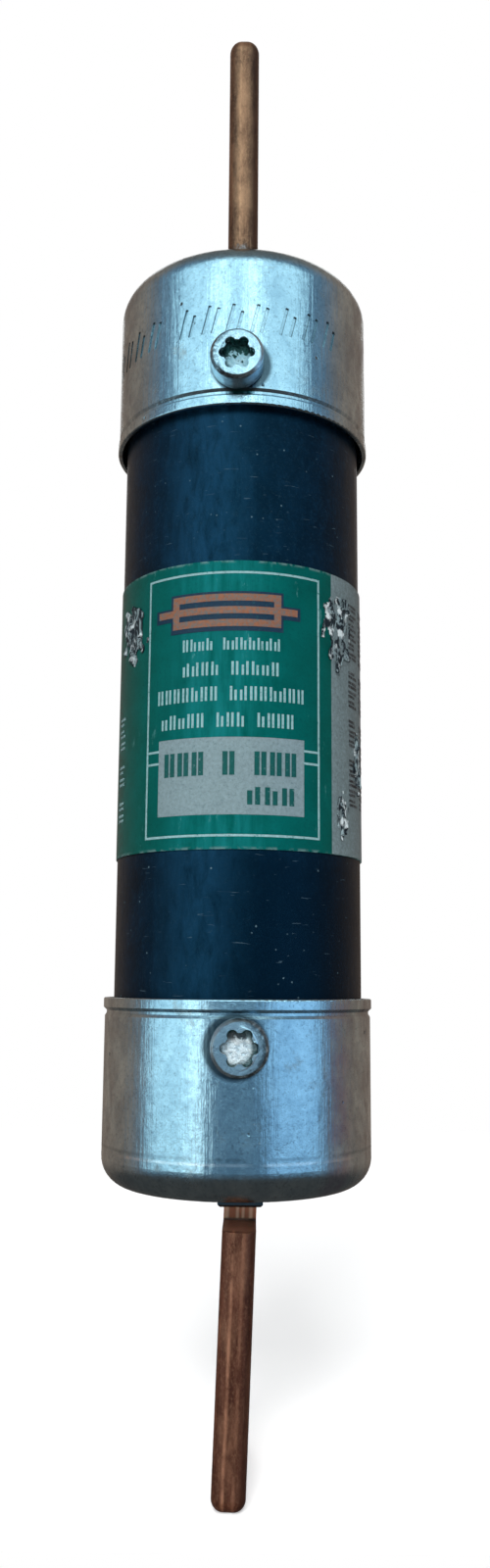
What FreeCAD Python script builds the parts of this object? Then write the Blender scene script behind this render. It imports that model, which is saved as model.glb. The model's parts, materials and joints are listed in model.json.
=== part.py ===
import FreeCAD, Part
import math
import os

os.makedirs("parts", exist_ok=True)

# Knife-blade cartridge fuse, dual-element time-delay type, 100 A / 250 V frame size. Millimetres.
# The long axis is Z and the origin is the middle of the fuse. The face with the label's printing
# and one screw of each cap looks towards -Y. The blades are 19 mm wide along Y and 3 mm thick along X.

# Outside sizes
overall_length = 149.225
blade_width = 19.05
blade_thickness = 3.175
cap_radius = 13.53
cap_wall = 0.55
cap_rim_z = 29.25
cap_end_z = 47.6
cap_corner_radius = 2.9
tube_radius = 12.65
tube_wall = 2.3
tube_end_z = 45.2
label_top_z = 13.2
label_bottom_z = -15.3
label_thickness = 0.12
label_glue_gap = 0.02

# Rim of a cap: a flared lip, then a rolled groove
lip_radius = 13.66
lip_height = 0.95
lip_edge_radius = 0.18
lip_flare = 0.26
groove_depth = 0.18
groove_height = 0.25
groove_slope = 0.3

# Slot in a cap's end, with its raised edge
slot_clearance = 0.2
slot_lip_height = 0.55
slot_lip_width = 0.32
slot_lip_bevel = 0.22

# Slanted strokes stamped in the upper cap, in three groups of (first stroke's angle, number of strokes).
# Their heights repeat in turn, and every second stroke stands closer to the one before it.
stroke_groups = ((-76.0, 8), (-26.0, 8), (18.5, 6))
stroke_pitch_angle = 5.3
stroke_pair_shift = 1.2
stroke_foot_z = 37.0
stroke_heights = (3.2, 2.4, 3.2, 2.9)
stroke_width = 0.36
stroke_corner_radius = 0.1
stroke_depth = 0.15
stroke_slant = 14.0

# Blades. The lower one leans to the left, turned about a line across it at lower_lean_z below the middle.
upper_blade_edge_radius = 1.3
upper_blade_corner_radius = 1.65
lower_blade_edge_radius = 1.1
lower_blade_corner_radius = 1.25
neck_thickness = 3.0
neck_width = 18.85
neck_end_z = 48.3
neck_edge_radius = 0.8
tang_width = 10.0
notch_depth = 6.35
notch_start_z = 47.6
notch_end_z = 50.5
lower_lean = 1.95
lower_lean_z = 63.0

shoulder_clearance = 0.1

# End blocks and their cross pins
block_inner_z = 30.6
block_outer_z = 38.6
block_chamfer = 0.5
tang_clearance = 0.05
pin_radius = 1.2
pin_length = 17.0
pin_hole_length = 24.0
pin_z = 36.4
pin_y = 2.9
pin_clearance = 0.02

# Cap screws, radial along Y, one at the front and one at the back of each cap
screw_z = 33.55
screw_head_radius = 2.67
screw_head_height = 2.35
screw_head_bevel = 0.3
screw_neck_radius = 2.1
screw_shank_radius = 1.6
screw_tip_y = 5.6
screw_tip_length = 0.8
screw_turn = 1.5
lobe_count = 6
lobe_centre_radius = 1.3
lobe_radius = 0.52
socket_core_radius = 1.38
socket_depth = 1.0
thread_clearance = 0.02
hole_clearance = 0.15

# Sealing washers
gasket_thickness = 1.6
gasket_radius = 11.2
felt_thickness = 0.9
gap = 0.05

# How far a cutting shape runs past the faces that it cuts, and how exactly two places have to agree
overshoot = 1.0
tolerance = 1e-6

# Overload section, held between the two partition discs
partition_top_z = 12.6
partition_thickness = 1.6
housing_radius = 6.2
housing_wall = 0.8
housing_bottom_z = -1.5
seat_thickness = 1.0
rod_radius = 1.8
rod_bottom_z = -6.5
running_clearance = 0.06
flange_radius = 4.6
rod_chamfer = 0.45
flange_thickness = 1.0
flange_edge_radius = 0.25
flange_headroom = 0.25
trigger_travel = 5.0
spring_wire_radius = 0.35
spring_coil_radius = 3.4
spring_turns = 4.0
absorber_radius = 6.6
absorber_top_z = -3.5
absorber_bottom_z = -8.2
absorber_bore_radius = 2.6
absorber_floor = 1.2
alloy_top_z = -3.9

# Short-circuit elements and the heater strip
strip_width = 9.0
strip_thickness = 0.4
strip_x = 3.6
foot_length = 2.6
bridge_hole_radius = 1.2
bridge_holes_across = 3
bridge_rows = 3
heater_width = 4.0
heater_thickness = 0.5
heater_x = 2.4
slit_clearance = 0.1

tube_bore_radius = tube_radius - tube_wall
half_length = overall_length / 2
cap_bore_radius = cap_radius - cap_wall
cap_floor_z = cap_end_z - cap_wall
disc_radius = tube_bore_radius - gap
screw_seat_y = -cap_radius - thread_clearance
screw_step_y = -tube_radius - gap
partition_low_z = partition_top_z - partition_thickness
felt_top_z = block_inner_z - strip_thickness - gap
felt_low_z = felt_top_z - felt_thickness
seat_top_z = housing_bottom_z + seat_thickness
housing_top_z = partition_low_z - gap
flange_top_z = housing_top_z - housing_wall - flange_headroom - trigger_travel
flange_bottom_z = flange_top_z - flange_thickness
lower_slot_x = (lower_lean_z - cap_end_z) * math.tan(math.radians(lower_lean))

ORIGIN = FreeCAD.Vector(0, 0, 0)
AXIS_X = FreeCAD.Vector(1, 0, 0)
AXIS_Y = FreeCAD.Vector(0, 1, 0)
AXIS_Z = FreeCAD.Vector(0, 0, 1)


def cylinder(radius, low_z, high_z):
    return Part.makeCylinder(radius, high_z - low_z, FreeCAD.Vector(0, 0, low_z))


def ring(outer_radius, inner_radius, low_z, high_z):
    return cylinder(outer_radius, low_z, high_z).cut(cylinder(inner_radius, low_z, high_z))


def block(size_x, size_y, low_z, high_z, centre_x=0.0):
    corner = FreeCAD.Vector(centre_x - size_x / 2, -size_y / 2, low_z)
    return Part.makeBox(size_x, size_y, high_z - low_z, corner)


def to_lower_end(shape):
    return shape.mirror(ORIGIN, AXIS_Z)


def turned(shape, angle):
    copy = shape.copy()
    copy.rotate(ORIGIN, AXIS_Z, angle)
    return copy


def leaned(shape):
    """A lower-end shape turned to the lower blade's lean."""
    copy = shape.copy()
    copy.rotate(FreeCAD.Vector(0, 0, -lower_lean_z), AXIS_Y, lower_lean)
    return copy


def without(body, tools):
    for tool in tools:
        body = body.cut(tool)
    return body


def long_edges(shape, direction):
    """Straight edges that run along a direction."""
    found = []
    for edge in shape.Edges:
        along = edge.tangentAt(edge.FirstParameter)
        if edge.Curve.TypeId == "Part::GeomLine" and abs(along.dot(direction)) > 1 - tolerance:
            found.append(edge)
    return found


def edges_at_z(shape, level):
    """Edges that lie wholly at one height."""
    def flat(edge):
        box = edge.BoundBox
        return abs(box.ZMin - level) < tolerance and abs(box.ZMax - level) < tolerance
    return [edge for edge in shape.Edges if flat(edge)]


def revolved(points_and_arcs):
    """Turn a closed half-outline of (radius, height) corners round Z. A third value is an arc's midpoint."""
    edges = []
    for start, end, middle in points_and_arcs:
        first = FreeCAD.Vector(start[0], 0, start[1])
        last = FreeCAD.Vector(end[0], 0, end[1])
        if middle is None:
            edges.append(Part.makeLine(first, last))
        else:
            edges.append(Part.Arc(first, FreeCAD.Vector(middle[0], 0, middle[1]), last).toShape())
    return Part.Face(Part.Wire(edges)).revolve(ORIGIN, AXIS_Z, 360)


def save(name, solids):
    shape = solids[0] if len(solids) == 1 else Part.makeCompound(solids)
    shape.exportStep("parts/%s.step" % name)


# ---- shell: tube, label and caps

def screw_hole(radius):
    """A cylinder along Y on the axis of the upper cap's two screws, from front to back."""
    start = FreeCAD.Vector(0, -cap_radius - overshoot, screw_z)
    return Part.makeCylinder(radius, 2 * (cap_radius + overshoot), start, AXIS_Y)


def at_both_ends(shape):
    """The upper end's shape turned as its screws are, with its mirror image for the lower end."""
    return [turned(shape, -screw_turn), turned(to_lower_end(shape), screw_turn)]


def make_tube():
    tube = ring(tube_radius, tube_bore_radius, -tube_end_z, tube_end_z)
    return without(tube, at_both_ends(screw_hole(screw_shank_radius + hole_clearance)))


def make_label():
    inner_radius = tube_radius + label_glue_gap
    return ring(inner_radius + label_thickness, inner_radius, label_bottom_z, label_top_z)


def cap_outline():
    outer = cap_radius
    bore = cap_bore_radius
    lip_top = cap_rim_z + lip_height
    groove_top = lip_top + groove_slope + groove_height
    inner_corner = cap_corner_radius - cap_wall
    corner_z = cap_end_z - cap_corner_radius
    bend = math.sqrt(0.5)
    return [
        ((bore + lip_flare, cap_rim_z), (lip_radius - lip_edge_radius, cap_rim_z), None),
        ((lip_radius - lip_edge_radius, cap_rim_z), (lip_radius, cap_rim_z + lip_edge_radius),
         (lip_radius - lip_edge_radius * (1 - bend), cap_rim_z + lip_edge_radius * (1 - bend))),
        ((lip_radius, cap_rim_z + lip_edge_radius), (lip_radius, lip_top), None),
        ((lip_radius, lip_top), (outer - groove_depth, lip_top + groove_slope), None),
        ((outer - groove_depth, lip_top + groove_slope), (outer - groove_depth, groove_top), None),
        ((outer - groove_depth, groove_top), (outer, groove_top + groove_slope), None),
        ((outer, groove_top + groove_slope), (outer, corner_z), None),
        ((outer, corner_z), (outer - cap_corner_radius, cap_end_z),
         (outer - cap_corner_radius * (1 - bend), corner_z + cap_corner_radius * bend)),
        ((outer - cap_corner_radius, cap_end_z), (0, cap_end_z), None),
        ((0, cap_end_z), (0, cap_floor_z), None),
        ((0, cap_floor_z), (bore - inner_corner, cap_floor_z), None),
        ((bore - inner_corner, cap_floor_z), (bore, corner_z),
         (bore - inner_corner * (1 - bend), corner_z + inner_corner * bend)),
        ((bore, corner_z), (bore, lip_top), None),
        ((bore, lip_top), (bore + lip_flare, cap_rim_z), None),
    ]


def blade_slot(low_z, high_z, centre_x, margin=0.0):
    length = blade_width + 2 * slot_clearance + 2 * margin
    width = blade_thickness + 2 * slot_clearance + 2 * margin
    return block(width, length, low_z, high_z, centre_x)


def make_cap_blank(slot_x):
    """A drawn cup for the upper end, with a rolled rim and a flared edge round the blade's slot at slot_x."""
    cup = revolved(cap_outline())
    collar_top = cap_end_z + slot_lip_height
    collar = blade_slot(cap_floor_z, collar_top, slot_x, slot_lip_width)
    collar = collar.makeChamfer(slot_lip_bevel, edges_at_z(collar, collar_top))
    slot = blade_slot(cap_floor_z - overshoot, collar_top + overshoot, slot_x)
    return cup.fuse(collar).cut(slot).removeSplitter()


def stroke(angle, height):
    """One slanted stroke cut into the cap's outer skin."""
    corner = FreeCAD.Vector(-stroke_width / 2, -cap_radius - overshoot, -height / 2)
    bar = Part.makeBox(stroke_width, overshoot + stroke_depth, height, corner)
    bar = bar.makeFillet(stroke_corner_radius, long_edges(bar, AXIS_Y))
    bar.rotate(ORIGIN, AXIS_Y, stroke_slant)
    bar.translate(FreeCAD.Vector(0, 0, stroke_foot_z + height / 2))
    return turned(bar, angle)


def make_caps():
    upper_hole, lower_hole = at_both_ends(screw_hole(screw_neck_radius + hole_clearance))
    upper = make_cap_blank(0).cut(upper_hole)
    for first_angle, count in stroke_groups:
        for number in range(count):
            angle = first_angle + number * stroke_pitch_angle - number % 2 * stroke_pair_shift
            upper = upper.cut(stroke(angle, stroke_heights[number % len(stroke_heights)]))
    lower = to_lower_end(make_cap_blank(lower_slot_x)).cut(lower_hole)
    return upper, lower


# ---- contact blades, end blocks, pins and screws

def make_upper_blade(corner_radius, edge_radius):
    """A contact blade with rounded edges, a thinner neck in the cap's slot and a narrow tang."""
    contact = block(blade_thickness, blade_width, neck_end_z, half_length)
    tip_corners = [edge for edge in long_edges(contact, AXIS_X) if edge.BoundBox.ZMin > neck_end_z]
    contact = contact.makeFillet(corner_radius, tip_corners)
    rims = [edge for edge in contact.Edges if edge.BoundBox.XLength < tolerance
            and edge.BoundBox.ZMax > neck_end_z + tolerance]
    contact = contact.makeFillet(edge_radius, rims)
    shoulder_z = block_outer_z + shoulder_clearance
    neck = block(neck_thickness, neck_width, shoulder_z, neck_end_z)
    neck = neck.makeFillet(neck_edge_radius, long_edges(neck, AXIS_Z))
    tang = block(neck_thickness, tang_width, block_inner_z, shoulder_z)
    blade = contact.fuse(neck).fuse(tang)
    return without(blade, pin_holes()).removeSplitter()


def reject_notch():
    """The square notch in the front edge of the lower blade, next to the cap."""
    low = FreeCAD.Vector(-blade_thickness, -blade_width / 2 - overshoot, -notch_end_z)
    return Part.makeBox(2 * blade_thickness, notch_depth + overshoot, notch_end_z - notch_start_z, low)


def cross_pins(radius, length):
    """Two cylinders along X through the upper end block and the blade's tang."""
    pins = []
    for side in (-1, 1):
        start = FreeCAD.Vector(-length / 2, side * pin_y, pin_z)
        pins.append(Part.makeCylinder(radius, length, start, AXIS_X))
    return pins


def pin_holes():
    return cross_pins(pin_radius + pin_clearance, pin_hole_length)


def make_end_block_disc():
    disc = cylinder(disc_radius, block_inner_z, block_outer_z)
    return disc.makeChamfer(block_chamfer, edges_at_z(disc, block_inner_z) + edges_at_z(disc, block_outer_z))


def end_block_openings():
    """The slot for the blade's tang and the two cross holes for its pins."""
    slot = block(neck_thickness + 2 * tang_clearance, tang_width + 2 * tang_clearance,
                 block_inner_z - overshoot, block_outer_z + overshoot)
    return [slot] + pin_holes()


def tapped_holes():
    """The two blind radial holes of an upper end block that the cap screws go into."""
    drill = screw_hole(screw_shank_radius + thread_clearance)
    depth = 2 * (screw_tip_y - gap)
    return drill.cut(block(depth, depth, screw_z - depth, screw_z + depth))


def drum(radius, low_y, high_y):
    """A cylinder along Y on the axis of the upper cap screws."""
    return Part.makeCylinder(radius, high_y - low_y, FreeCAD.Vector(0, low_y, screw_z), AXIS_Y)


def six_lobe_socket(face_y):
    socket = drum(socket_core_radius, face_y, face_y + socket_depth)
    for number in range(lobe_count):
        angle = math.radians(number * 360 / lobe_count)
        lobe = drum(lobe_radius, face_y, face_y + socket_depth)
        lobe.translate(FreeCAD.Vector(lobe_centre_radius * math.cos(angle), 0,
                                      lobe_centre_radius * math.sin(angle)))
        socket = socket.fuse(lobe)
    return socket


def front_screw():
    """A cap screw at the upper front: bevelled drum head, neck through the cap, shank into the block."""
    face_y = screw_seat_y - screw_head_height
    head = drum(screw_head_radius, face_y, screw_seat_y)
    rim = [edge for edge in head.Edges if abs(edge.BoundBox.YMax - face_y) < tolerance]
    head = head.makeChamfer(screw_head_bevel, rim)
    neck = drum(screw_neck_radius, screw_seat_y, screw_step_y)
    shank = drum(screw_shank_radius, screw_step_y, -screw_tip_y)
    tip = [edge for edge in shank.Edges if abs(edge.BoundBox.YMin + screw_tip_y) < tolerance]
    shank = shank.makeChamfer(screw_tip_length, tip)
    screw = head.fuse(neck).fuse(shank).removeSplitter()
    return screw.cut(six_lobe_socket(face_y))


def make_screws():
    front = front_screw()
    return at_both_ends(front) + at_both_ends(turned(front, 180))


# ---- washers, partitions, elements and filler

def make_gasket_disc():
    """The fibre washer that closes the tube's mouth."""
    return cylinder(gasket_radius, tube_end_z + gap, tube_end_z + gap + gasket_thickness)


def gasket_opening():
    """The slot in the gasket for the blade's neck."""
    return block(neck_thickness + 2 * slit_clearance, neck_width + 2 * slit_clearance,
                 tube_end_z - gap, tube_end_z + 2 * gap + gasket_thickness)


def strip_slits(low_z, high_z):
    """The space that the two element strips take in a disc or in the filler."""
    width = strip_width + 2 * slit_clearance
    thickness = strip_thickness + 2 * slit_clearance
    return [block(thickness, width, low_z, high_z, side * strip_x) for side in (-1, 1)]


def slit_disc(low_z, high_z):
    return without(cylinder(disc_radius, low_z, high_z), strip_slits(low_z - overshoot, high_z + overshoot))


def element_strips(low_z):
    """Two copper strips with rows of holes as weak spots, each with a foot on the end block."""
    foot_top = block_inner_z - gap / 2
    foot_low = foot_top - strip_thickness
    chamber = felt_low_z - partition_top_z
    strips = []
    for side in (-1, 1):
        strip = block(strip_thickness, strip_width, low_z, foot_top, side * strip_x)
        foot = block(foot_length, strip_width, foot_low, foot_top, side * (strip_x + foot_length / 2))
        strip = strip.fuse(foot).removeSplitter()
        for row in range(bridge_rows):
            height = partition_top_z + chamber * (row + 1) / (bridge_rows + 1)
            for column in range(bridge_holes_across):
                across = (column - (bridge_holes_across - 1) / 2) * strip_width / bridge_holes_across
                start = FreeCAD.Vector(side * strip_x - overshoot, across, height)
                strip = strip.cut(Part.makeCylinder(bridge_hole_radius, 2 * overshoot, start, AXIS_X))
        strips.append(strip)
    return strips


# ---- overload section

def make_housing():
    """The brass cup that holds the spring: closed at the top, where the upper element stands on it."""
    cup = cylinder(housing_radius, housing_bottom_z, housing_top_z)
    bore = cylinder(housing_radius - housing_wall, housing_bottom_z - overshoot, housing_top_z - housing_wall)
    return cup.cut(bore)


def make_spring_seat():
    """The bushing in the cup's open end that guides the connector's rod."""
    outer = housing_radius - housing_wall - gap / 2
    return ring(outer, rod_radius + running_clearance, housing_bottom_z, seat_top_z)


def make_connector():
    """The trigger's rod with the flange that the spring pushes on."""
    rod = cylinder(rod_radius, rod_bottom_z, flange_bottom_z)
    rod = rod.makeChamfer(rod_chamfer, edges_at_z(rod, rod_bottom_z))
    flange = cylinder(flange_radius, flange_bottom_z, flange_top_z)
    flange = flange.makeFillet(flange_edge_radius, edges_at_z(flange, flange_top_z))
    return rod.fuse(flange).removeSplitter()


def make_spring():
    """A compressed coil spring between the seat and the connector's flange."""
    low_z = seat_top_z + spring_wire_radius + gap
    high_z = flange_bottom_z - spring_wire_radius - gap
    pitch = (high_z - low_z) / spring_turns
    helix = Part.makeLongHelix(pitch, high_z - low_z, spring_coil_radius)
    circle = Part.makeCircle(spring_wire_radius, FreeCAD.Vector(spring_coil_radius, 0, 0), AXIS_Y)
    coil = Part.Wire(helix.Edges).makePipeShell([Part.Wire([circle])], True, True)
    coil.translate(FreeCAD.Vector(0, 0, low_z))
    return coil.Solids[0] if coil.Solids else Part.makeSolid(coil)


def make_absorber():
    """The copper cup that takes up the heat of a short overload."""
    body = cylinder(absorber_radius, absorber_bottom_z, absorber_top_z)
    body = body.makeChamfer(block_chamfer, edges_at_z(body, absorber_top_z))
    bore = cylinder(absorber_bore_radius, absorber_bottom_z + absorber_floor, absorber_top_z + overshoot)
    return body.cut(bore)


def make_alloy():
    """The fusing alloy that holds the rod's foot in the absorber."""
    plug = cylinder(absorber_bore_radius - gap / 2, absorber_bottom_z + absorber_floor + gap / 2, alloy_top_z)
    return plug.cut(cylinder(rod_radius + running_clearance, rod_bottom_z - gap, alloy_top_z + overshoot))


def make_heater():
    """A crossbar between the lower strips with two legs up to the absorber."""
    bar_low = -partition_low_z + gap
    bar_top = bar_low + heater_thickness
    bar_length = 2 * strip_x - strip_thickness - gap
    heater = block(bar_length, heater_width, bar_low, bar_top)
    for side in (-1, 1):
        leg = block(heater_thickness, heater_width, bar_low, absorber_bottom_z - gap / 2, side * heater_x)
        heater = heater.fuse(leg)
    return heater.removeSplitter()


def build():
    save("tube", [make_tube()])
    save("label", [make_label()])
    upper_cap, lower_cap = make_caps()
    save("upper_cap", [upper_cap])
    save("lower_cap", [lower_cap])

    save("upper_blade", [make_upper_blade(upper_blade_corner_radius, upper_blade_edge_radius)])
    lower_blade = to_lower_end(make_upper_blade(lower_blade_corner_radius, lower_blade_edge_radius))
    save("lower_blade", [leaned(lower_blade.cut(reject_notch()))])
    upper_holes, lower_holes = at_both_ends(tapped_holes())
    openings = end_block_openings()
    lower_openings = [leaned(to_lower_end(opening)) for opening in openings]
    save("upper_end_block", [without(make_end_block_disc(), openings + [upper_holes])])
    save("lower_end_block", [without(to_lower_end(make_end_block_disc()), lower_openings + [lower_holes])])
    pins = cross_pins(pin_radius, pin_length)
    save("blade_pins", pins + [leaned(to_lower_end(pin)) for pin in pins])
    save("cap_screws", make_screws())

    gasket = make_gasket_disc()
    save("upper_gasket", [gasket.cut(gasket_opening())])
    save("lower_gasket", [to_lower_end(gasket).cut(leaned(to_lower_end(gasket_opening())))])
    felt = slit_disc(felt_low_z, felt_top_z)
    save("upper_felt_washer", [felt])
    save("lower_felt_washer", [to_lower_end(felt)])
    filler = slit_disc(partition_top_z + gap, felt_low_z - gap)
    save("upper_sand_filler", [filler])
    save("lower_sand_filler", [to_lower_end(filler)])
    partition = slit_disc(partition_low_z, partition_top_z)
    save("upper_partition", [partition])
    save("lower_partition", [to_lower_end(partition)])

    save("upper_element", element_strips(partition_low_z))
    lower_strip_top = partition_low_z - gap - heater_thickness
    save("lower_element", [to_lower_end(strip) for strip in element_strips(lower_strip_top)])

    save("heater", [make_heater()])
    save("heat_absorber", [make_absorber()])
    save("fusing_alloy", [make_alloy()])
    save("trigger_housing", [make_housing()])
    save("spring_seat", [make_spring_seat()])
    save("trigger_spring", [make_spring()])
    save("trigger_connector", [make_connector()])


build()
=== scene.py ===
import json
import math
import random

import bpy
from mathutils import Matrix, Vector, noise


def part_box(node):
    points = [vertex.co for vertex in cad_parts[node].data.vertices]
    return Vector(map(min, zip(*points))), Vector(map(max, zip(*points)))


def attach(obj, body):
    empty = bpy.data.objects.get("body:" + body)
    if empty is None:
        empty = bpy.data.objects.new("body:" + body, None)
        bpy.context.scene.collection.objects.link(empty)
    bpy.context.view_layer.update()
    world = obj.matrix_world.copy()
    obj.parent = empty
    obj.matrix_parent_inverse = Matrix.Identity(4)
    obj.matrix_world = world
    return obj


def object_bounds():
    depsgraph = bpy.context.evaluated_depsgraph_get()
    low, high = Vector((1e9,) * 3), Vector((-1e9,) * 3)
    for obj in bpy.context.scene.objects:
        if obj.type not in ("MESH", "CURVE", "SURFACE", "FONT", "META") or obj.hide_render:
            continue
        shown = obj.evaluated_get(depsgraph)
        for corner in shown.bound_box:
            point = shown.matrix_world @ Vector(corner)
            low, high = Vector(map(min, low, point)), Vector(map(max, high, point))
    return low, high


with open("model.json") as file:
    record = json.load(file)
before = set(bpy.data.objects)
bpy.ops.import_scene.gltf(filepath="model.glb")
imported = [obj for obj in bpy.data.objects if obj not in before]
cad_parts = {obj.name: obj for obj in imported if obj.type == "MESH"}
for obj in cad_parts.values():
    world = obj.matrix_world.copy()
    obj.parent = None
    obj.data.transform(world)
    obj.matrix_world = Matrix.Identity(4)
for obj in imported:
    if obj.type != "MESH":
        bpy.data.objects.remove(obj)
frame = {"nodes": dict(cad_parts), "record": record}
cad_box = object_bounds()

# Lengths are in millimetres and angles in degrees, but the floor and the lights are in metres.
MM = 0.001
ROOT = "fuse"
random.seed(7)

SCREW_HEIGHT = 33.55
UPPER_GROOVE_HEIGHT = 30.55
LOWER_CREASE_HEIGHT = -43.95
LOWER_CREASE_SHADOW_HEIGHT = -43.50
LEAN_PIVOT_HEIGHT = -63.0
LOWER_LEAN = math.tan(math.radians(1.95))


# ---- node helpers

class Graph:
    """A tree of shader nodes being built."""

    # The Mix node has several sockets of each name, so its colour sockets are found by number.
    MIX_FIRST, MIX_SECOND, MIX_RESULT = 6, 7, 2

    def __init__(self, tree):
        self.tree = tree

    def node(self, kind):
        return self.tree.nodes.new(kind)

    def link(self, source, target):
        self.tree.links.new(source, target)

    def feed(self, value, target):
        """A socket is linked, a colour gets its alpha, and anything else is set."""
        if isinstance(value, bpy.types.NodeSocket):
            self.link(value, target)
        elif isinstance(value, tuple):
            target.default_value = value + (1,)
        else:
            target.default_value = value

    def band(self, value, low, high):
        """0 at low, 1 at high, clamped; low may be above high."""
        remap = self.node("ShaderNodeMapRange")
        self.feed(value, remap.inputs["Value"])
        remap.inputs["From Min"].default_value = low
        remap.inputs["From Max"].default_value = high
        return remap.outputs["Result"]

    def math(self, operation, first, second=0.0):
        node = self.node("ShaderNodeMath")
        node.operation = operation
        self.feed(first, node.inputs[0])
        self.feed(second, node.inputs[1])
        return node.outputs[0]

    def times(self, *values):
        result = values[0]
        for value in values[1:]:
            result = self.math("MULTIPLY", result, value)
        return result

    def off(self, value, place):
        """How far a value is from a place, to either side."""
        return self.math("ABSOLUTE", self.math("SUBTRACT", value, place))

    def mix(self, factor, first, second):
        """The first colour where factor is 0, the second where it is 1."""
        node = self.node("ShaderNodeMix")
        node.data_type = "RGBA"
        self.feed(factor, node.inputs["Factor"])
        self.feed(first, node.inputs[self.MIX_FIRST])
        self.feed(second, node.inputs[self.MIX_SECOND])
        return node.outputs[self.MIX_RESULT]


class Paint(Graph):
    """A material being built. Textures use object coordinates in millimetres, so scales are per mm."""

    def __init__(self, name):
        self.material = bpy.data.materials.new(name)
        self.material.use_nodes = True
        super().__init__(self.material.node_tree)
        self.shader = self.tree.nodes["Principled BSDF"]
        coordinate = self.node("ShaderNodeTexCoord")
        self.mm = self.scaled(coordinate.outputs["Object"], (1 / MM, 1 / MM, 1 / MM))
        axes = self.node("ShaderNodeSeparateXYZ")
        self.link(self.mm, axes.inputs[0])
        self.x, self.y, self.z = axes.outputs

    def scaled(self, vector, scale):
        mapping = self.node("ShaderNodeMapping")
        mapping.inputs["Scale"].default_value = scale
        self.link(vector, mapping.inputs["Vector"])
        return mapping.outputs["Vector"]

    def noise(self, scale, detail=4.0, roughness=0.55, stretch=(1, 1, 1), distortion=0.0):
        """Soft random values round 0.5. A stretch below 1 draws the pattern out along that axis."""
        texture = self.node("ShaderNodeTexNoise")
        self.link(self.scaled(self.mm, stretch), texture.inputs["Vector"])
        texture.inputs["Scale"].default_value = scale
        texture.inputs["Detail"].default_value = detail
        texture.inputs["Roughness"].default_value = roughness
        texture.inputs["Distortion"].default_value = distortion
        return texture.outputs["Fac"]

    def spots(self, scale, low, high):
        """Small round marks: 1 inside a mark, 0 outside."""
        texture = self.node("ShaderNodeTexVoronoi")
        self.link(self.scaled(self.mm, (1, 1, 1)), texture.inputs["Vector"])
        texture.inputs["Scale"].default_value = scale
        return self.band(texture.outputs["Distance"], high, low)

    def from_screw(self, height):
        """Distance from a line that runs from front to back at x 0 and this height."""
        flat = self.node("ShaderNodeCombineXYZ")
        self.link(self.x, flat.inputs[0])
        self.link(self.z, flat.inputs[2])
        distance = self.node("ShaderNodeVectorMath")
        distance.operation = "DISTANCE"
        self.link(flat.outputs[0], distance.inputs[0])
        distance.inputs[1].default_value = (0, 0, height)
        return distance.outputs["Value"]

    def from_nearest_screw(self):
        return self.math("MINIMUM", self.from_screw(SCREW_HEIGHT), self.from_screw(-SCREW_HEIGHT))

    def crevice(self, reach):
        """1 in corners and recesses narrower than reach, 0 on open faces."""
        occlusion = self.node("ShaderNodeAmbientOcclusion")
        occlusion.samples = 8
        occlusion.inputs["Distance"].default_value = reach * MM
        return self.band(occlusion.outputs["AO"], 0.85, 0.45)

    def angle(self):
        """Degrees round the tube from the front, rising towards +X."""
        turn = self.math("ARCTAN2", self.x, self.math("MULTIPLY", self.y, -1.0))
        return self.math("MULTIPLY", turn, 180 / math.pi)

    def from_front(self):
        """Degrees round the tube from the front, to either side."""
        return self.math("ABSOLUTE", self.angle())

    def bump(self, height, depth, normal=None):
        node = self.node("ShaderNodeBump")
        node.inputs["Strength"].default_value = 1.0
        node.inputs["Distance"].default_value = depth * MM
        self.feed(height, node.inputs["Height"])
        if normal is not None:
            self.link(normal, node.inputs["Normal"])
        return node.outputs["Normal"]

    def finish(self, colour, roughness, normal=None, metallic=0.0, **values):
        """Feeds the shader. Each further value is set on the socket of its name."""
        self.feed(colour, self.shader.inputs["Base Color"])
        self.feed(roughness, self.shader.inputs["Roughness"])
        if normal is not None:
            self.link(normal, self.shader.inputs["Normal"])
        self.feed(metallic, self.shader.inputs["Metallic"])
        for name, value in values.items():
            socket_name = name.replace("_", " ").title().replace("Ior", "IOR")
            self.shader.inputs[socket_name].default_value = value
        return self.material


def shaded(colour, factor):
    """The colour with each channel times factor."""
    return tuple(factor * channel for channel in colour)


def set_material(piece, material):
    piece.data.materials.clear()
    piece.data.materials.append(material)


# ---- materials of the CAD nodes

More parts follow.
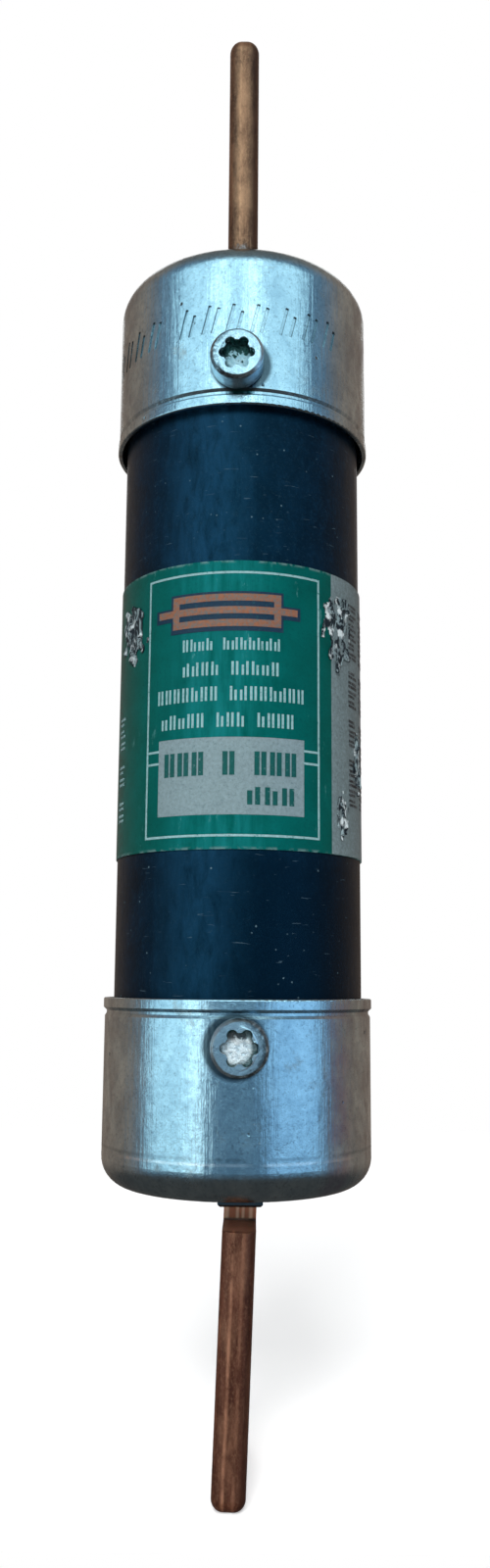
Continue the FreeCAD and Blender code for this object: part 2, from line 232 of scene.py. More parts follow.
def plated_metal(name, bright, dull, stain_and_reflection_amount, base_roughness, shade_reach):
    """Bright plating: draw lines, mottling, brown stains, a painted brown reflection on the sides, scratches,
    pits and painted shade in corners and recesses.
    """
    p = Paint(name)
    mottle = p.noise(1.3, 6, 0.7)
    smudge = p.noise(0.45, 5, 0.65, stretch=(1, 1, 0.6), distortion=0.35)
    cloud = p.noise(0.16, 3, 0.5)
    draw_lines = p.noise(2.4, 3, 0.6, stretch=(1, 1, 0.05))
    scratch = p.band(p.noise(2.6, 2, 0.5, stretch=(0.25, 0.25, 3.2), distortion=0.4), 0.70, 0.74)
    pits = p.times(p.spots(0.5, 0.05, 0.11), p.band(p.noise(0.35, 2), 0.54, 0.6))
    dull_amount = p.band(p.math("ADD", p.times(mottle, 0.6), p.times(smudge, 0.7)), 0.48, 0.92)
    colour = p.mix(dull_amount, bright, dull)
    colour = p.mix(p.times(p.band(cloud, 0.5, 0.7), 0.35), colour, dull)
    spatter = p.band(p.noise(2.8, 5, 0.75), 0.54, 0.66)
    colour = p.mix(p.times(spatter, 0.55), colour, shaded(dull, 0.55))
    # Painted reflection: brown on the sides, away from the front, added to the real brown stains.
    side = p.band(p.from_front(), 38.0, 66.0)
    side_reflection = p.times(side, p.band(smudge, 0.38, 0.62), 0.8)
    stain_and_side_reflection = p.math("ADD", p.band(p.noise(0.3, 5, 0.65), 0.60, 0.78), side_reflection)
    colour = p.mix(p.times(stain_and_side_reflection, stain_and_reflection_amount), colour, (0.34, 0.235, 0.165))
    colour = p.mix(p.times(scratch, 0.4), colour, (0.16, 0.19, 0.21))
    colour = p.mix(pits, colour, (0.04, 0.05, 0.05))
    roughness = p.math("ADD", base_roughness, p.times(mottle, 0.16))
    roughness = p.math("ADD", roughness, p.times(stain_and_side_reflection, 0.2))
    relief = p.math("ADD", p.times(mottle, 0.8), smudge)
    relief = p.math("SUBTRACT", relief, p.times(pits, 2.0))
    # Painted shade: darker in corners and recesses, where ambient occlusion finds them.
    colour = p.mix(p.times(p.crevice(shade_reach), 0.6), colour, (0.02, 0.035, 0.04))
    normal = p.bump(relief, 0.032)
    normal = p.bump(draw_lines, 0.03, normal)
    return p, colour, roughness, normal


def cap_material():
    """Plating with what the caps alone have: a painted shadow ring and verdigris by the screws, a painted
    purple reflection low on the right, a painted highlight and painted shade at a crease and a painted dull
    reflection on the upper end.
    """
    p, colour, roughness, normal = plated_metal(
        "plated_cap", (0.68, 0.83, 0.88), (0.36, 0.49, 0.57),
        stain_and_reflection_amount=0.6, base_roughness=0.12, shade_reach=0.7)
    # Painted reflection: a purple tint low on the right side.
    right_side = p.times(p.band(p.angle(), 36.0, 43.0), p.band(p.angle(), 56.0, 49.0))
    low_right_reflection = p.times(right_side, p.band(p.z, 0, -1))
    colour = p.mix(p.times(low_right_reflection, p.band(p.noise(0.5, 4), 0.3, 0.6), 0.45), colour, (0.40, 0.27, 0.42))

    front = p.band(p.y, -11.5, -12.5)
    # Painted shadow: a dark ring on the cap's front round each screw head.
    screw_ring_shadow = p.times(p.band(p.from_nearest_screw(), 3.25, 2.85), front)
    colour = p.mix(p.times(screw_ring_shadow, 0.85), colour, (0.02, 0.035, 0.045))
    near_middle = p.band(p.math("ABSOLUTE", p.x), 1.6, 0.7)
    on_groove = p.band(p.off(p.z, UPPER_GROOVE_HEIGHT), 0.5, 0.15)
    verdigris = p.times(near_middle, on_groove, front, p.band(p.noise(2.0, 3), 0.36, 0.5))
    colour = p.mix(verdigris, colour, (0.005, 0.09, 0.08))

    # Painted highlight: a white line along the lower crease, on the front, with painted shade just above it.
    patchy = p.band(p.noise(0.7, 3), 0.30, 0.55)
    crease_highlight = p.band(p.off(p.z, LOWER_CREASE_HEIGHT), 0.20, 0.06)
    facing = p.band(p.from_front(), 58.0, 40.0)
    colour = p.mix(p.times(crease_highlight, patchy, facing, 0.85), colour, (1.0, 1.0, 1.0))
    crease_shadow = p.band(p.off(p.z, LOWER_CREASE_SHADOW_HEIGHT), 0.22, 0.06)
    colour = p.mix(p.times(crease_shadow, patchy, 0.35), colour, (0.10, 0.15, 0.18))
    # Painted reflection: the upper end greyed towards a dull reflection.
    upper_end_reflection = p.band(p.z, 45.6, 47.0)
    colour = p.mix(p.times(upper_end_reflection, 0.5), colour, (0.36, 0.36, 0.34))
    slot_edge = p.band(p.math("ABSOLUTE", p.z), 47.62, 47.70)
    colour = p.mix(p.times(slot_edge, 0.85), colour, (0.10, 0.085, 0.080))
    return p.finish(colour, roughness, normal, metallic=1.0)


def screw_material():
    """Plating, with pale flakes as painted highlights in both sockets, green residue in the upper one, a
    painted shadow in the lower one and painted shade round the heads and in the sockets' corners.
    """
    p, colour, roughness, normal = plated_metal(
        "screw_steel", (0.66, 0.80, 0.86), (0.40, 0.50, 0.56),
        stain_and_reflection_amount=0.2, base_roughness=0.16, shade_reach=0.3)
    around = p.from_nearest_screw()
    front_face = p.band(p.y, -15.3, -15.6)
    # Painted shade: a dark, broken ring round the edge of each screw head's face.
    rim_shadow = p.times(front_face, p.band(around, 2.25, 2.6), p.band(p.noise(2.2, 4), 0.35, 0.55))
    colour = p.mix(p.times(rim_shadow, 0.8), colour, (0.03, 0.05, 0.06))

    in_socket = p.times(p.band(around, 2.1, 1.95), p.band(p.y, -15.9, -15.7))
    flakes = p.noise(1.7, 3, 0.6)
    at_upper_end = p.band(p.z, 0, 1)
    # Painted highlights: pale flakes on the socket floors, palest in the lower screw.
    socket_highlight_colour = p.mix(at_upper_end, (0.85, 0.93, 0.95), (0.42, 0.66, 0.74))
    colour = p.mix(p.times(in_socket, at_upper_end, 0.8), colour, (0.22, 0.48, 0.56))
    colour = p.mix(p.times(in_socket, p.band(flakes, 0.40, 0.55)), colour, socket_highlight_colour)

    above_upper = p.math("SUBTRACT", p.z, SCREW_HEIGHT)
    above_lower = p.math("ADD", p.z, SCREW_HEIGHT)
    ragged = p.times(p.math("SUBTRACT", flakes, 0.5), 5.0)
    residue = p.band(p.math("ADD", above_upper, ragged), 0.0, 0.35)
    colour = p.mix(p.times(in_socket, residue), colour, (0.006, 0.045, 0.04))
    # Painted shadow: dark in the upper part of the lower socket, where its upper wall shades it, more towards
    # -X.
    wall_shadow_height = p.times(p.band(above_lower, 0.45, 0.9), p.band(above_lower, 6.0, 5.0))
    soot_and_shadow = p.times(in_socket, wall_shadow_height, p.band(p.math("ADD", p.x, ragged), 0.9, 0.4))
    colour = p.mix(p.times(soot_and_shadow, 0.85), colour, (0.02, 0.02, 0.02))
    # Painted shade: dark green in the sockets' corners and along the ends of their lobes.
    colour = p.mix(p.times(in_socket, p.crevice(0.45), 0.9), colour, (0.008, 0.045, 0.045))
    lobe_end_shade = p.times(in_socket, p.band(around, 1.30, 1.62))
    colour = p.mix(p.times(lobe_end_shade, 0.75), colour, (0.010, 0.060, 0.060))

    dents = p.bump(p.times(flakes, in_socket), 0.5, normal)
    metal = p.math("SUBTRACT", 0.95, p.times(in_socket, 0.6))
    return p.finish(colour, roughness, dents, metallic=metal)


def fibre_material():
    """Varnished black fibre: a painted navy sheen left of the front, worn patches, dust, a painted grey
    reflection on the sides, pale specks and fine scratches.
    """
    p = Paint("fibre_black")
    cloud = p.noise(0.3, 5, 0.65)
    rub_and_sheen = p.noise(0.9, 6, 0.7, stretch=(1, 1, 0.35), distortion=0.5)
    mottle = p.noise(2.2, 5, 0.7)
    specks = p.times(p.spots(1.0, 0.04, 0.12), p.band(p.noise(0.6, 2), 0.52, 0.6))
    scratch = p.band(p.noise(1.7, 2, 0.5, stretch=(0.3, 0.3, 3.0), distortion=0.6), 0.71, 0.74)
    colour = p.mix(p.band(cloud, 0.35, 0.7), (0.0006, 0.0036, 0.0085), (0.0013, 0.0085, 0.0200))
    # Painted sheen: a lighter navy streaked band left of the front.
    tube_sheen = p.times(p.band(p.angle(), -42.0, -20.0), p.band(p.angle(), 8.0, -10.0))
    colour = p.mix(p.times(tube_sheen, p.band(rub_and_sheen, 0.30, 0.62)), colour, (0.0060, 0.0330, 0.0700))
    worn = p.band(p.times(rub_and_sheen, mottle), 0.24, 0.40)
    colour = p.mix(p.times(worn, 0.5), colour, (0.0035, 0.0200, 0.0430))
    dust = p.band(p.noise(3.6, 6, 0.8), 0.55, 0.68)
    colour = p.mix(p.times(dust, 0.32), colour, (0.022, 0.055, 0.080))
    # Painted reflection: grey on the sides.
    side = p.band(p.from_front(), 56.0, 72.0)
    colour = p.mix(p.times(side, p.band(mottle, 0.40, 0.62), 0.6), colour, (0.030, 0.030, 0.028))

    # The tube is darker below the label, most of all towards +X, where the extra darkening is painted shade.
    deep_navy = (0.0004, 0.0020, 0.0055)
    below_label = p.band(p.z, -14.0, -17.0)
    colour = p.mix(p.times(below_label, p.band(p.angle(), -12.0, 12.0), 0.65), colour, deep_navy)
    colour = p.mix(p.times(below_label, 0.25), colour, deep_navy)

    colour = p.mix(p.times(specks, 0.8), colour, (0.12, 0.20, 0.24))
    colour = p.mix(p.times(scratch, 0.5), colour, (0.06, 0.10, 0.13))
    roughness = p.math("ADD", 0.28, p.times(rub_and_sheen, 0.22))
    normal = p.bump(p.math("ADD", p.times(mottle, 0.5), rub_and_sheen), 0.03)
    return p.finish(colour, roughness, normal, Specular_ior_level=0.22, Specular_tint=(0.10, 0.60, 1.0, 1.0))


def label_material():
    """Green foil label: ink mottling, a painted sheen on the front, scuffs and worn edges."""
    p = Paint("label_green")
    cloud = p.noise(0.3, 4, 0.6)
    grain = p.noise(3.5, 5, 0.7)
    streak = p.noise(1.2, 4, 0.6, stretch=(1, 1, 0.12))
    colour = p.mix(p.band(cloud, 0.3, 0.7), (0.0004, 0.064, 0.050), (0.0008, 0.088, 0.074))
    colour = p.mix(p.times(p.band(grain, 0.5, 0.75), 0.6), colour, (0.0008, 0.036, 0.032))
    # Painted sheen: lighter teal streaks round the front, mostly left of it.
    label_sheen = p.times(p.band(p.angle(), -34.0, -18.0), p.band(p.angle(), 20.0, 0.0))
    colour = p.mix(p.times(label_sheen, p.band(streak, 0.36, 0.66), 0.42), colour, (0.012, 0.215, 0.225))
    edges = p.math("MAXIMUM", p.band(p.z, 12.9, 13.15), p.band(p.z, -15.0, -15.25))
    worn_edges = p.times(edges, p.band(p.noise(1.3, 4), 0.45, 0.6))
    colour = p.mix(p.times(worn_edges, 0.6), colour, (0.16, 0.26, 0.26))
    scuff_noise = p.noise(0.9, 6, 0.75, stretch=(1, 1, 0.5))
    scuff = p.band(p.times(scuff_noise, p.math("ADD", streak, 0.5)), 0.66, 0.76)
    colour = p.mix(p.times(scuff, 0.5), colour, (0.10, 0.28, 0.28))
    roughness = p.math("ADD", 0.30, p.times(grain, 0.14))
    normal = p.bump(p.math("ADD", p.times(grain, 0.4), cloud), 0.015)
    return p.finish(colour, roughness, normal, Specular_ior_level=0.25, Specular_tint=(0.10, 0.75, 1.0, 1.0))


def copper_material(name, light, mid, dark, highlight_lines, lean=0.0, foot=None, notch=False):
    """Oxidised copper. The front edge has painted highlights in lines along the blade and painted shade on
    its right.

    highlight_lines holds (place across the blade, half width, strength). lean is the blade's sideways slope.
    foot is the height where soot gathers. A notch has freshly cut faces, painted glints and a painted light
    ledge.
    """
    p = Paint(name)
    across = p.math("SUBTRACT", p.x, p.times(p.math("SUBTRACT", p.z, LEAN_PIVOT_HEIGHT), lean))
    front_edge = p.band(p.y, -8.0, -8.6)
    streak = p.noise(1.7, 5, 0.65, stretch=(1, 1, 0.12))
    blotch = p.noise(0.5, 5, 0.6, stretch=(1, 1, 0.4))
    grain = p.noise(4.5, 5, 0.75, stretch=(1, 1, 0.6))
    colour = p.mix(p.band(streak, 0.36, 0.66), dark, mid)
    colour = p.mix(p.times(p.band(blotch, 0.45, 0.70), 0.6), colour, light)
    colour = p.mix(p.times(p.band(grain, 0.48, 0.72), 0.55), colour, light)
    dark_streak = p.band(p.noise(1.0, 4, stretch=(1, 1, 0.35)), 0.60, 0.72)
    colour = p.mix(p.times(dark_streak, 0.6), colour, dark)
    scratch = p.band(p.noise(2.2, 2, 0.5, stretch=(1, 1, 0.08)), 0.70, 0.74)
    colour = p.mix(p.times(scratch, 0.6), colour, light)

    broken = p.band(p.noise(1.1, 5, 0.7, stretch=(1, 1, 0.35)), 0.36, 0.60)
    wander = p.times(p.math("SUBTRACT", p.noise(0.12, 2, 0.5), 0.5), 0.25)
    wandering = p.math("ADD", across, wander)
    highlight_colour = tuple(min(1.0, 1.5 * channel) for channel in light)
    # Painted highlights: bright lines along the front edge.
    for place, half_width, strength in highlight_lines:
        on_line = p.band(p.off(wandering, place), half_width, 0.2 * half_width)
        colour = p.mix(p.times(on_line, broken, front_edge, strength), colour, highlight_colour)
    # Painted shade: the front edge darker on its right.
    right_edge_shade = p.times(front_edge, p.band(across, 0.55, 1.15), p.band(blotch, 0.25, 0.45))
    colour = p.mix(p.times(right_edge_shade, 0.72), colour, shaded(dark, 0.7))
    roughness = p.math("ADD", 0.26, p.times(grain, 0.22))
    metal = p.math("SUBTRACT", 0.75, p.times(blotch, 0.1))

    if foot is not None:
        sooty = p.math("ADD", p.z, p.times(p.noise(1.6, 4), -1.6))
        soot_and_shadow = p.band(sooty, foot + 0.1, foot - 0.5)
        colour = p.mix(p.times(soot_and_shadow, 0.9), colour, (0.02, 0.012, 0.010))
        solder = p.times(soot_and_shadow, p.band(p.off(across, -0.25), 0.8, 0.4))
        colour = p.mix(p.times(solder, p.band(grain, 0.4, 0.6)), colour, (0.30, 0.27, 0.26))

    if notch:
        in_height = p.times(p.band(p.z, -50.42, -50.25), p.band(p.z, -47.0, -47.4))
        behind_edge = p.times(p.band(p.y, -3.9, -3.3), p.band(p.y, -2.9, -3.1))
        cut = p.times(in_height, behind_edge)
        colour = p.mix(p.times(cut, 0.8), colour, (0.70, 0.21, 0.10))
        for place, half_width in ((-1.30, 0.30), (-0.25, 0.22), (0.30, 0.20), (1.05, 0.26)):
            on_glint = p.band(p.off(wandering, place), half_width, 0.3 * half_width)
            colour = p.mix(p.times(on_glint, cut), colour, (1.0, 0.55, 0.34))
        # Painted light: the notch's ledge lighter brown, most on the left.
        behind_lip = p.band(p.y, -8.9, -8.4)
        ledge_light = p.times(p.band(p.z, -50.60, -50.52), p.band(p.z, -50.25, -50.45), behind_lip)
        colour = p.mix(p.times(ledge_light, p.band(across, 1.2, 0.2), 0.5), colour, (0.50, 0.26, 0.18))
        metal = p.math("SUBTRACT", metal, p.times(p.math("MAXIMUM", cut, ledge_light), 0.2))

    # Painted shade: darker in corners and recesses.
    colour = p.mix(p.times(p.crevice(0.4), 0.5), colour, (0.04, 0.02, 0.013))
    normal = p.bump(p.math("ADD", p.times(grain, 0.5), streak), 0.03)
    return p.finish(colour, roughness, normal, metallic=metal)


def inner_material(name, colour, metallic, roughness):
    """A plain procedural finish for the pieces sealed inside."""
    p = Paint(name)
    grain = p.noise(4.0, 5, 0.65)
    base = p.mix(p.band(grain, 0.3, 0.7), colour, shaded(colour, 0.6))
    return p.finish(base, roughness, p.bump(grain, 0.02), metallic=metallic)


# Colour, metallic and roughness of each material slot that is only inside.
inner_finish = {
    "block_brass": ((0.50, 0.34, 0.12), 1.0, 0.30),
    "pin_steel": ((0.42, 0.43, 0.44), 1.0, 0.30),
    "washer_fibre": ((0.26, 0.20, 0.13), 0.0, 0.75),
    "felt": ((0.52, 0.50, 0.43), 0.0, 0.95),
    "element_copper": ((0.72, 0.36, 0.22), 1.0, 0.25),
    "sand": ((0.60, 0.54, 0.44), 0.0, 0.9),
    "heater_alloy": ((0.42, 0.40, 0.36), 1.0, 0.35),
    "fusing_alloy": ((0.50, 0.52, 0.54), 1.0, 0.35),
    "spring_steel": ((0.20, 0.21, 0.23), 1.0, 0.28),
}
cap_finish = cap_material()
visible_finish = {
    "tube": fibre_material(),
    "label": label_material(),
    "upper_cap": cap_finish,
    "lower_cap": cap_finish,
    "upper_blade": copper_material(
        "copper_tan", (0.44, 0.225, 0.120), (0.21, 0.096, 0.050), (0.075, 0.032, 0.017),
        highlight_lines=((-0.25, 0.75, 0.40), (-0.35, 0.16, 0.35)), foot=48.6),
    "lower_blade": copper_material(
        "copper_red", (0.46, 0.205, 0.115), (0.20, 0.068, 0.038), (0.085, 0.026, 0.014),
        highlight_lines=((-0.52, 0.22, 0.80), (0.45, 0.22, 0.35)), lean=LOWER_LEAN, notch=True),
    "cap_screws": screw_material(),
}

slot_of = {part["node"]: part["material_slot"] for part in frame["record"]["subparts"]}
inner_materials = {slot: inner_material(slot, *finish) for slot, finish in inner_finish.items()}
for node_name, node_object in frame["nodes"].items():
    set_material(node_object, visible_finish.get(node_name) or inner_materials[slot_of[node_name]])


# ---- printing on the label: thin raised ink on the label's cylinder, placed by angle and height

label_low, label_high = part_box("label")
label_radius = label_high.x / MM
label_bottom, label_top = label_low.z / MM, label_high.z / MM
INK_PROUD = 0.03
STEP_DEGREES = 1.5


def on_label(angle, height, proud):
    turn = math.radians(angle)
    radius = label_radius + proud
    return (radius * math.sin(turn) * MM, -radius * math.cos(turn) * MM, height * MM)


def degrees(millimetres):
    """The angle that a length round the label spans."""
    return math.degrees(millimetres / label_radius)


def add_patch(vertices, faces, left, right, low, high, proud):
    """A closed curved plate between two angles and two heights, from just under the label to proud of it."""
    columns = max(1, round((right - left) / STEP_DEGREES))
    base = len(vertices)
    for column in range(columns + 1):
        angle = left + (right - left) * column / columns
        for height, depth in ((low, -INK_PROUD), (high, -INK_PROUD), (high, proud), (low, proud)):
            vertices.append(on_label(angle, height, depth))
    for column in range(columns):
        here = base + 4 * column
        for side in range(4):
            after = (side + 1) % 4
            faces.append((here + side, here + after, here + 4 + after, here + 4 + side))
    faces.append((base + 3, base + 2, base + 1, base))
    last = base + 4 * columns
    faces.append((last, last + 1, last + 2, last + 3))


def make_piece(name, vertices, faces, material):
    mesh = bpy.data.meshes.new(name)
    mesh.from_pydata(vertices, [], faces)
    mesh.validate()
    mesh.update()
    piece = bpy.data.objects.new(name, mesh)
    bpy.context.scene.collection.objects.link(piece)
    set_material(piece, material)
    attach(piece, ROOT)
    return piece


def printed(name, patches, material, proud=INK_PROUD):
    vertices, faces = [], []
    for patch in patches:
        add_patch(vertices, faces, *patch, proud)
    make_piece(name, vertices, faces, material)


def frame_outline(left, right, low, high, width):
    side = degrees(width)
    return [(left, right, high - width, high), (left, right, low, low + width),
            (left, left + side, low + width, high - width), (right - side, right, low + width, high - width)]


def word_row(left, right, middle, height, words, stroke, tallness=(0.74, 1.0, 1.0, 1.0)):
    """Blank text: upright strokes in pairs in place of letters. words gives how many pairs each word has."""
    room = math.radians(right - left) * label_radius
    pitch = room / (sum(words) + len(words) - 1)
    low = middle - height / 2
    patches = []
    place = 0.0
    for count in words:
        for _ in range(count):
            for offset in (0.0, 0.44 * pitch):
                start = left + degrees(place + offset)
                tall = height * random.choice(tallness)
                patches.append((start, start + degrees(stroke), low, low + tall))
            place += pitch
        place += pitch
    return patches


def word_column(angle, width, high, low, pitch, words, stroke=0.26):
    """Blank text that runs down the label: strokes in pairs, lying on their side."""
    patches = []
    height = high
    side = degrees(width)
    for count in words:
        for _ in range(count):
            for offset in (0.0, 0.42 * pitch):
                if height - offset - stroke < low:
                    return patches
                reach = side * random.choice((0.72, 1.0, 1.0))
                patches.append((angle, angle + reach, height - offset - stroke, height - offset))
            height -= pitch
        height -= pitch
    return patches


def fuse_symbol(left, right, middle, height, line):
    """The circuit-diagram sign for a fuse: a box with a wire right through it."""
    box_left = left + 0.12 * (right - left)
    box_right = right - 0.12 * (right - left)
    low = middle - height / 2
    high = middle + height / 2
    wire = (left, right, middle - line / 2, middle + line / 2)
    return frame_outline(box_left, box_right, low, high, line) + [wire]


def ink_material(name, ink, ground, wear_low, wear_high, metallic=0.0):
    """Printed ink, rubbed through to the ground colour in places, with painted shade round the sides."""
    p = Paint(name)
    wear = p.band(p.noise(3.2, 5, 0.7), wear_low, wear_high)
    shade = p.band(p.noise(3.0, 5, 0.75), 0.3, 0.75)
    colour = p.mix(shade, ink, shaded(ink, 0.62))
    colour = p.mix(wear, colour, ground)
    # Painted shade: the ink darker round the sides.
    side_shade = p.band(p.from_front(), 42.0, 50.0)
    colour = p.mix(p.times(side_shade, p.band(shade, 0.1, 0.8), 0.6), colour, shaded(ink, 0.4))
    normal = p.bump(p.noise(4.0, 3), 0.01)
    return p.finish(colour, 0.42, normal, metallic=metallic, Specular_ior_level=0.3)


# Each ink: its colour, the colour under it, and the noise values between which it wears through.
silver = ink_material("label_silver", (0.225, 0.305, 0.325), (0.11, 0.165, 0.18), 0.52, 0.72, metallic=0.1)
pale_ink = ink_material("label_pale_ink", (0.27, 0.47, 0.49), (0.01, 0.13, 0.12), 0.56, 0.68)
green_ink = ink_material("label_green_ink", (0.001, 0.075, 0.066), (0.20, 0.28, 0.30), 0.60, 0.74)
black_ink = ink_material("label_black_ink", (0.015, 0.022, 0.03), (0.20, 0.25, 0.27), 0.48, 0.64)
orange_ink = ink_material("label_orange_ink", (0.27, 0.105, 0.052), (0.10, 0.11, 0.11), 0.44, 0.62)
shadow_ink = ink_material("label_shadow_ink", (0.004, 0.020, 0.045), (0.01, 0.06, 0.07), 0.56, 0.75)

FRAME_LEFT, FRAME_RIGHT, FRAME_LOW, FRAME_HIGH, FRAME_LINE = -45.0, 38.3, -14.1, 12.1, 0.22
BOX_LEFT, BOX_RIGHT, BOX_LOW, BOX_HIGH = -37.4, 29.9, -12.0, -4.5
PANEL_LEFT, PANEL_RIGHT, PANEL_MARGIN = 46.0, 132.0, 0.02
BACK_LEFT, BACK_RIGHT, BACK_MARGIN = 158.0, 242.0, 6
HEADING_LEFT, HEADING_RIGHT, HEADING_MIDDLE, HEADING_HEIGHT = -38.5, 26.5, 8.15, 3.3
TIE_HEIGHTS = (-5.65, -6.85)

silver_box = (BOX_LEFT, BOX_RIGHT, BOX_LOW, BOX_HIGH)
silver_panel = (PANEL_LEFT, PANEL_RIGHT, label_bottom + PANEL_MARGIN, label_top - PANEL_MARGIN)
printed("label_silver_areas", [silver_box, silver_panel], silver)

pale = frame_outline(FRAME_LEFT, FRAME_RIGHT, FRAME_LOW, FRAME_HIGH, FRAME_LINE)
for tie_height in TIE_HEIGHTS:
    pale.append((FRAME_LEFT, BOX_LEFT, tie_height, tie_height + FRAME_LINE))
    pale.append((BOX_RIGHT, FRAME_RIGHT, tie_height, tie_height + FRAME_LINE))
pale += word_row(-25.5, 19.3, 4.75, 1.2, (4, 7), 0.21)
pale += word_row(-25.3, 19.0, 2.3, 1.35, (4, 5), 0.23)
pale += word_row(-38.4, 31.0, -0.2, 1.4, (7, 8), 0.23)
pale += word_row(-36.0, 26.0, -2.8, 1.4, (5, 3, 4), 0.23)
pale += word_column(-73.0, 1.6, -1.0, -12.5, 1.25, (3, 2, 2))
pale += frame_outline(BACK_LEFT, BACK_RIGHT, FRAME_LOW, FRAME_HIGH, FRAME_LINE)
for row in range(9):
    row_end = BACK_RIGHT - BACK_MARGIN - 9 * (row % 3)
    pale += word_row(BACK_LEFT + BACK_MARGIN, row_end, 9.6 - 2.5 * row, 1.1, (5, 8, 4), 0.18)
printed("label_pale_print", pale, pale_ink)

# The shadow is the heading's sign again, a little larger and lower and with thicker lines.
heading_shadow = fuse_symbol(
    HEADING_LEFT - 1.5, HEADING_RIGHT + 1.5, HEADING_MIDDLE - 0.1, HEADING_HEIGHT + 0.7, 1.35)
heading = fuse_symbol(HEADING_LEFT, HEADING_RIGHT, HEADING_MIDDLE, HEADING_HEIGHT, 0.72)
printed("label_heading_shadow", heading_shadow, shadow_ink)
printed("label_heading", heading, orange_ink, proud=2 * INK_PROUD)

box_print = word_row(-34.0, 27.5, -7.05, 2.3, (3, 1, 3), 0.5, (1.0,))
box_print += word_row(4.0, 27.0, -10.2, 1.7, (3,), 0.5, (0.8, 1.0))
printed("label_box_print", box_print, green_ink, proud=2 * INK_PROUD)

column_words = ((6, 4, 3, 5), (6, 4, 5, 3), (3, 7, 4, 4), (5, 5, 6, 2), (4, 3, 8, 3))
column_patches = []
for number, words in enumerate(column_words):
    column_patches += word_column(60.0 + 14.5 * number, 2.1, 10.9, -13.9, 1.02, words)
printed("label_panel_print", column_patches, black_ink, proud=2 * INK_PROUD)


# ---- scuffs where the label's face is torn and its paper curls up

PAPER_THICKNESS = 0.16


def torn_material():
    """Torn paper: pale fibres over dark gaps, with painted shade in its folds."""
    p = Paint("torn_paper")
    fibre = p.noise(1.1, 6, 0.7, stretch=(1, 1, 0.6), distortion=1.8)
    colour = p.mix(p.band(fibre, 0.50, 0.55), (0.003, 0.006, 0.011), (0.24, 0.32, 0.34))
    colour = p.mix(p.band(p.noise(0.9, 3), 0.55, 0.64), colour, (0.66, 0.74, 0.76))
    # Painted shade: darker in the folds.
    colour = p.mix(p.times(p.crevice(0.6), 0.9), colour, (0.003, 0.004, 0.006))
    return p.finish(colour, 0.7, p.bump(fibre, 0.25))


torn = torn_material()


def tear(name, angle, height, width, tall, seed):
    """A ragged, crumpled scrap on the label. Cells outside a noisy oval are left out."""
    columns, rows = 30, 40
    vertices, faces, index = [], [], {}

    def inside(column, row):
        u = 2 * column / columns - 1
        v = 2 * row / rows - 1
        ragged = 0.8 * noise.noise(Vector((2.6 * u, 3.4 * v, seed)))
        return u * u + v * v < 0.55 + ragged

    def corner(column, row):
        if (column, row) not in index:
            u = column / columns - 0.5
            v = row / rows - 0.5
            broad_folds = noise.noise(Vector((5 * u, 4 * v, seed + 9.0)))
            fine_folds = noise.noise(Vector((12 * u, 10 * v, seed)))
            crumple = broad_folds + 0.4 * fine_folds
            lift = 0.12 + 0.26 * max(-0.4, crumple)
            index[(column, row)] = len(vertices)
            vertices.append(on_label(angle + degrees(width * u), height + tall * v, lift))
        return index[(column, row)]

    for column in range(columns):
        for row in range(rows):
            if inside(column + 0.5, row + 0.5):
                faces.append((corner(column, row), corner(column + 1, row),
                              corner(column + 1, row + 1), corner(column, row + 1)))
    piece = make_piece(name, vertices, faces, torn)
    solid = piece.modifiers.new("thickness", "SOLIDIFY")
    solid.thickness = PAPER_THICKNESS * MM
    solid.offset = -1


tear("label_tear_left", -58.0, 7.4, 5.8, 7.4, 1.3)
tear("label_tear_right", 52.0, 7.5, 5.6, 9.4, 4.1)
tear("label_tear_low_right", 54.0, -11.2, 2.4, 5.2, 7.7)
tear("label_tear_edge", 70.0, -5.5, 2.6, 7.5, 11.9)


# ---- stage, lights and camera

WHITE = (1.0, 1.0, 1.0)
SKY = (0.62, 0.92, 1.0)
PALE_SKY = (0.80, 0.98, 1.0)
DEEP_SKY = (0.37, 0.68, 1.0)
COOL_WHITE = (0.95, 0.98, 1.0)


def staged_floor():
    """A pale disc that fades into the white surroundings, so that it shows no horizon."""
    underside = (0, 0, cad_box[0].z)
    bpy.ops.mesh.primitive_circle_add(vertices=96, radius=0.3, fill_type="NGON", location=underside)
    floor = bpy.context.object
    floor.name = "floor"
    p = Paint("floor_pale")
    shade = p.noise(0.02, 3)
    p.finish(p.mix(shade, (0.90, 0.90, 0.90), (0.86, 0.86, 0.86)), 0.9)
    p.shader.inputs["Emission Color"].default_value = (1, 1, 1, 1)
    p.shader.inputs["Emission Strength"].default_value = 0.5
    reach = p.node("ShaderNodeVectorMath")
    reach.operation = "LENGTH"
    p.link(p.mm, reach.inputs[0])
    fade = p.band(reach.outputs["Value"], 290.0, 120.0)
    p.link(fade, p.shader.inputs["Alpha"])
    set_material(floor, p.material)
    floor.visible_glossy = False


def softbox(name, azimuth, elevation, width, height, radiance, colour, distance=0.62):
    """A rectangular light aimed at the middle of the fuse. Azimuth 0 is in front, rising towards +X."""
    data = bpy.data.lights.new(name, "AREA")
    data.shape = "RECTANGLE"
    data.size = width
    data.size_y = height
    data.color = colour
    data.energy = radiance * math.pi * width * height
    light = bpy.data.objects.new(name, data)
    bpy.context.scene.collection.objects.link(light)
    around = math.radians(azimuth)
    up = math.radians(elevation)
    away = Vector((math.sin(around) * math.cos(up), -math.cos(around) * math.cos(up), math.sin(up)))
    light.location = away * distance
    light.rotation_euler = away.to_track_quat("Z", "Y").to_euler()
    light.visible_camera = False
    return light


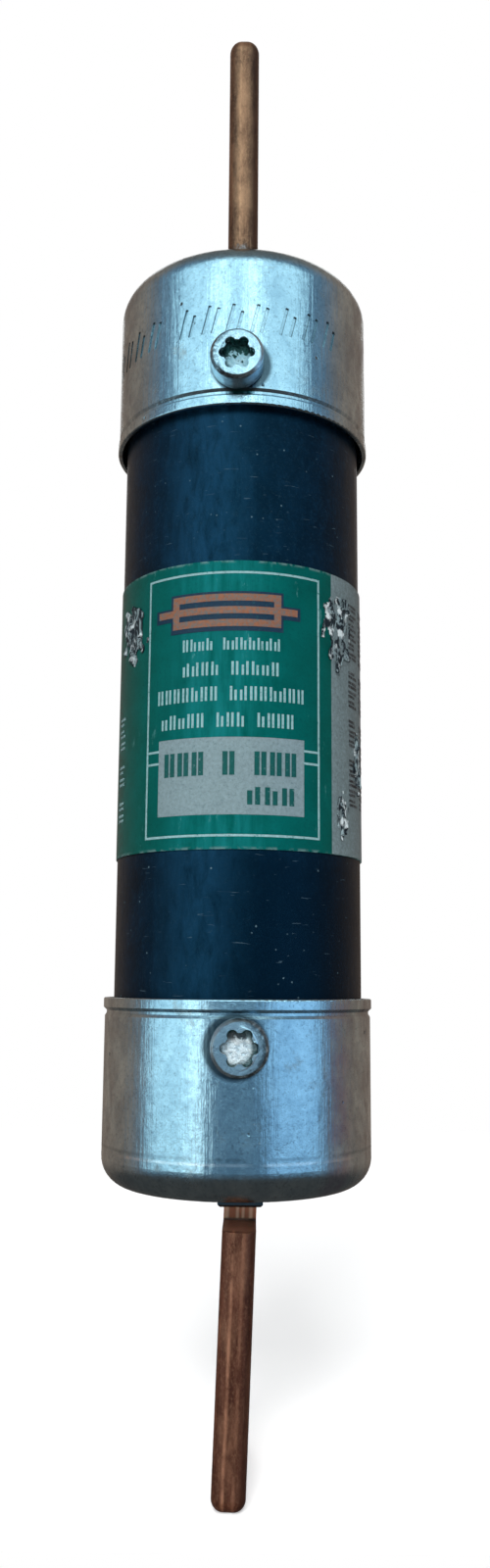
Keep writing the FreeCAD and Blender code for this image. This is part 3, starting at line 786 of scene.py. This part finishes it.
def studio_world():
    """White to the camera and dim to dull surfaces.

    Metal reflects a blue front, a brown back, a dark ground and a grey ceiling.
    """
    world = bpy.data.worlds.new("studio")
    bpy.context.scene.world = world
    world.use_nodes = True
    world.node_tree.nodes.clear()
    g = Graph(world.node_tree)
    coordinate = g.node("ShaderNodeTexCoord")
    split = g.node("ShaderNodeSeparateXYZ")
    g.link(coordinate.outputs["Generated"], split.inputs[0])
    _, towards_back, towards_top = split.outputs
    path = g.node("ShaderNodeLightPath")
    room = g.mix(g.band(towards_back, -0.25, 0.2), (0.11, 0.21, 0.31), (0.27, 0.205, 0.165))
    room = g.mix(g.band(towards_top, -0.12, -0.45), room, (0.055, 0.052, 0.050))
    room = g.mix(g.band(towards_top, 0.75, 0.95), room, (0.16, 0.17, 0.17))
    room = g.mix(path.outputs["Is Diffuse Ray"], room, (0.045, 0.05, 0.055))
    room = g.mix(path.outputs["Is Camera Ray"], room, WHITE)
    background = g.node("ShaderNodeBackground")
    g.link(room, background.inputs["Color"])
    output = g.node("ShaderNodeOutputWorld")
    g.link(background.outputs[0], output.inputs[0])


def close_camera():
    """A camera 125 mm in front of the fuse and 28 mm below its middle, pitched up, with no shift."""
    data = bpy.data.cameras.new("camera")
    data.sensor_width = 36
    data.lens = 27.52875
    camera = bpy.data.objects.new("camera", data)
    bpy.context.scene.collection.objects.link(camera)
    right = Vector((0.99995, 0.00682, 0.00760)).normalized()
    forward = Vector((-0.00799, 0.98622, 0.16527)).normalized()
    up = right.cross(forward)
    place = Matrix((right, up, -forward)).transposed().to_4x4()
    place.translation = Vector((1.603, -125.316, -27.939)) * MM
    camera.matrix_world = place
    bpy.context.scene.camera = camera


staged_floor()
studio_world()

# The panels show only in gloss, and the key and the fill light only dull surfaces.
panels = [
    softbox("panel_left", -54, 4, 0.54, 0.42, 1.0, SKY),
    softbox("panel_left_strip", -32, 4, 0.09, 0.40, 1.35, PALE_SKY, 0.58),
    softbox("panel_right", 50, 4, 0.56, 0.42, 0.75, DEEP_SKY),
    softbox("panel_top", -2, 40, 1.45, 0.42, 0.95, SKY),
    softbox("panel_top_strip_left", -21, 34, 0.028, 0.30, 2.6, PALE_SKY, 0.56),
    softbox("panel_top_strip_right", 9, 34, 0.024, 0.30, 3.2, PALE_SKY, 0.56),
    softbox("panel_front", -3, 14, 0.34, 0.22, 1.9, SKY, 0.64),
    softbox("panel_back", 180, 38, 0.50, 0.50, 1.0, COOL_WHITE, 0.7),
]
for panel in panels:
    panel.visible_diffuse = False
dull_lights = [
    softbox("key", -6, 34, 0.26, 0.26, 24.0, WHITE, 0.7),
    softbox("fill_back", 180, 38, 0.40, 0.40, 5.0, WHITE, 0.7),
]
for light in dull_lights:
    light.visible_glossy = False
close_camera()
bpy.context.scene.view_settings.view_transform = "Standard"
